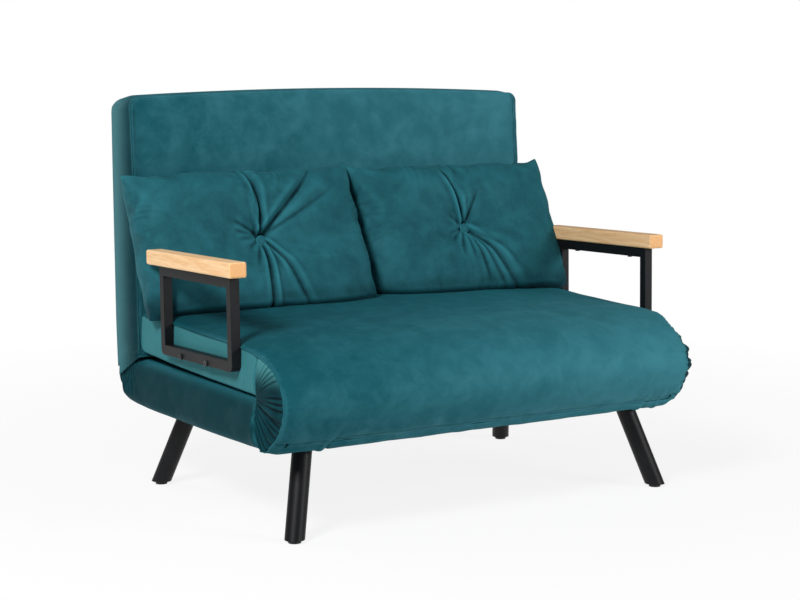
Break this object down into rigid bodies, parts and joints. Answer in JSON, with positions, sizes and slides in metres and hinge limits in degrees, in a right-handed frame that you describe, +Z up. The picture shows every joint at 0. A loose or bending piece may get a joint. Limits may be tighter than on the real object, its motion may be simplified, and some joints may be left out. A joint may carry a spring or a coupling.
{
  "type": "futon sofa bed",
  "caption": "Fold-out futon sofa bed with steel-and-wood armrests, slanted legs, a reclining back, a fold-over seat and tufted lumbar pillows.",
  "frame": {"origin": "on the floor, at the middle of the object's footprint", "axes": "+X along the width, left armrest to right armrest seen from the front; +Y to the rear; +Z up"},
  "size_m": [1.016, 0.73, 0.81],
  "materials": {
    "velvet_seat": "matte",
    "velvet_back": "matte",
    "velvet_pillow": "matte",
    "webbing": "matte",
    "dust_cloth": "matte",
    "frame_steel": "satin",
    "leg_steel": "satin",
    "arm_steel": "satin",
    "arm_wood": "satin",
    "zinc_fixings": "satin",
    "glide_plastic": "matte",
    "sleeve_rubber": "matte"
  },
  "bodies": {
    "base": {"base_frame": "frame_steel", "base_webbing": "webbing", "base_pad": "velvet_seat", "base_dust_cover": "dust_cloth", "leg_plates": "frame_steel", "front_left_leg": "leg_steel", "front_right_leg": "leg_steel", "rear_left_leg": "leg_steel", "rear_right_leg": "leg_steel", "leg_glides": "glide_plastic", "leg_nuts": "zinc_fixings", "front_base_arms": "frame_steel", "front_lower_pins": "zinc_fixings", "rear_base_arms": "frame_steel", "rear_hinge_pins": "zinc_fixings", "base_hinge_bolts": "zinc_fixings"},
    "front_link": {"front_link_plates": "frame_steel", "front_upper_pins": "zinc_fixings", "link_crossbars": "frame_steel", "link_pad": "velvet_seat"},
    "seat": {"front_seat_arms": "frame_steel", "seat_frame": "frame_steel", "seat_webbing": "webbing", "seat_upper_pad": "velvet_seat", "seat_lower_pad": "velvet_seat", "seat_hinge_bolts": "zinc_fixings", "left_arm_loop": "arm_steel", "right_arm_loop": "arm_steel", "left_arm_cap": "arm_wood", "right_arm_cap": "arm_wood", "arm_cap_screws": "zinc_fixings", "arm_bolts": "zinc_fixings", "arm_spacers": "arm_steel"},
    "back": {"rear_back_arms": "frame_steel", "rear_pawls": "frame_steel", "back_frame": "frame_steel", "back_webbing": "webbing", "back_hinge_bolts": "zinc_fixings", "back_front_pad": "velvet_back", "back_rear_pad": "velvet_back", "rear_leg_brackets": "frame_steel", "rear_leg_pins": "zinc_fixings"},
    "rear_leg": {"rear_leg": "frame_steel", "rear_leg_sleeves": "sleeve_rubber"},
    "left_pillow": {"left_pillow": "velvet_pillow", "left_pillow_buttons": "velvet_pillow"},
    "right_pillow": {"right_pillow": "velvet_pillow", "right_pillow_buttons": "velvet_pillow"}
  },
  "joints": [
    {"name": "back_recline", "type": "hinge", "parent": "base", "child": "back", "pos_m": [0, 0.305, 0.22], "axis": [1, 0, 0], "range_deg": [-86.5, 0]},
    {"name": "front_fold", "type": "hinge", "parent": "base", "child": "front_link", "pos_m": [0, -0.312, 0.214], "axis": [1, 0, 0], "range_deg": [0, 90]},
    {"name": "seat_fold", "type": "hinge", "parent": "front_link", "child": "seat", "pos_m": [0, -0.312, 0.308], "axis": [1, 0, 0], "range_deg": [0, 90]},
    {"name": "left_pillow_ride", "type": "hinge", "parent": "seat", "child": "left_pillow", "pos_m": [-0.252, 0.241, 0.3], "axis": [1, 0, 0], "range_deg": [-249.5, 0]},
    {"name": "right_pillow_ride", "type": "hinge", "parent": "seat", "child": "right_pillow", "pos_m": [0.252, 0.241, 0.3], "axis": [1, 0, 0], "range_deg": [-249.5, 0]},
    {"name": "rear_leg_fold", "type": "hinge", "parent": "back", "child": "rear_leg", "pos_m": [0, 0.351, 0.7], "axis": [-1, 0, 0], "range_deg": [-90, 0]}
  ],
  "couplings": [
    {"joint": "seat_fold", "follows": "front_fold", "ratio": 1},
    {"joint": "left_pillow_ride", "follows": "front_fold", "ratio": -2.7667},
    {"joint": "right_pillow_ride", "follows": "front_fold", "ratio": -2.7667}
  ]
}
